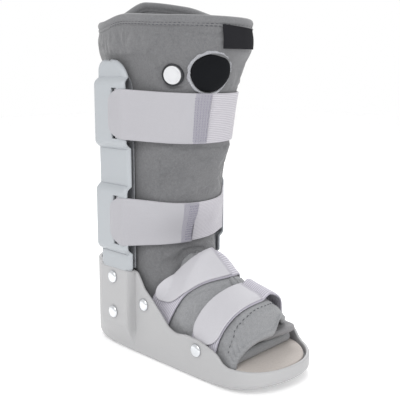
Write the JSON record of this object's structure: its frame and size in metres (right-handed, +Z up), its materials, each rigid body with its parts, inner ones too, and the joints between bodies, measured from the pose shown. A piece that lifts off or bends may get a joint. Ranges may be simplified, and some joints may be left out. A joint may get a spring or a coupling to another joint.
{
  "type": "medical walking boot",
  "caption": "Child's orthopaedic walking boot: rocker sole with a heel cup, side uprights, padded open-toe liner with a pump and release valve, and hook-and-loop straps.",
  "frame": {"origin": "middle of the bounding box at the floor, under the sole", "axes": "+Z up, -Y towards the toes, -X the near side where the straps' tabs close"},
  "size_m": [0.1131, 0.212, 0.29],
  "materials": {
    "shell": "moulded, satin",
    "upright": "moulded, satin, slightly bluish",
    "footbed": "short smooth nap",
    "leg_fabric": "brushed loop over foam",
    "foot_fabric": "brushed loop over foam",
    "webbing": "ribbed woven loop webbing",
    "tab": "smooth matte tape",
    "steel": "bright zinc plate",
    "bulb": "matte",
    "valve": "smooth",
    "tag": "matte, blank"
  },
  "bodies": {
    "boot": {"base_shell": "shell", "footbed": "footbed", "liner_sole": "foot_fabric", "liner_leg": "leg_fabric", "liner_foot": "foot_fabric", "liner_under_flap": "leg_fabric", "rim_binding": "leg_fabric", "blank_tag": "tag", "pump_bulb": "bulb", "bulb_edging": "webbing", "valve_housing": "bulb", "upright_far": "upright", "upright_near": "upright", "backing_far": "webbing", "backing_near": "webbing", "rivet_channel_high_far": "steel", "rivet_channel_high_near": "steel", "rivet_channel_low_far": "steel", "rivet_channel_low_near": "steel", "rivet_ankle_far": "steel", "rivet_ankle_near": "steel", "rivet_forefoot_far": "steel", "rivet_forefoot_near": "steel", "leg_strap_upper": "webbing", "leg_strap_upper_tab": "tab", "leg_strap_lower": "webbing", "leg_strap_lower_tab": "tab", "ankle_strap": "webbing", "ankle_strap_tab": "tab", "forefoot_strap": "webbing", "forefoot_strap_tab": "tab"},
    "button": {"valve_button": "valve"}
  },
  "joints": [
    {"name": "valve_press", "type": "slide", "parent": "boot", "child": "button", "axis": [0.8584, 0.4927, 0.1427], "range_m": [0, 0.0015], "stiffness_N_per_m": 400, "springref_m": -0.0008}
  ]
}
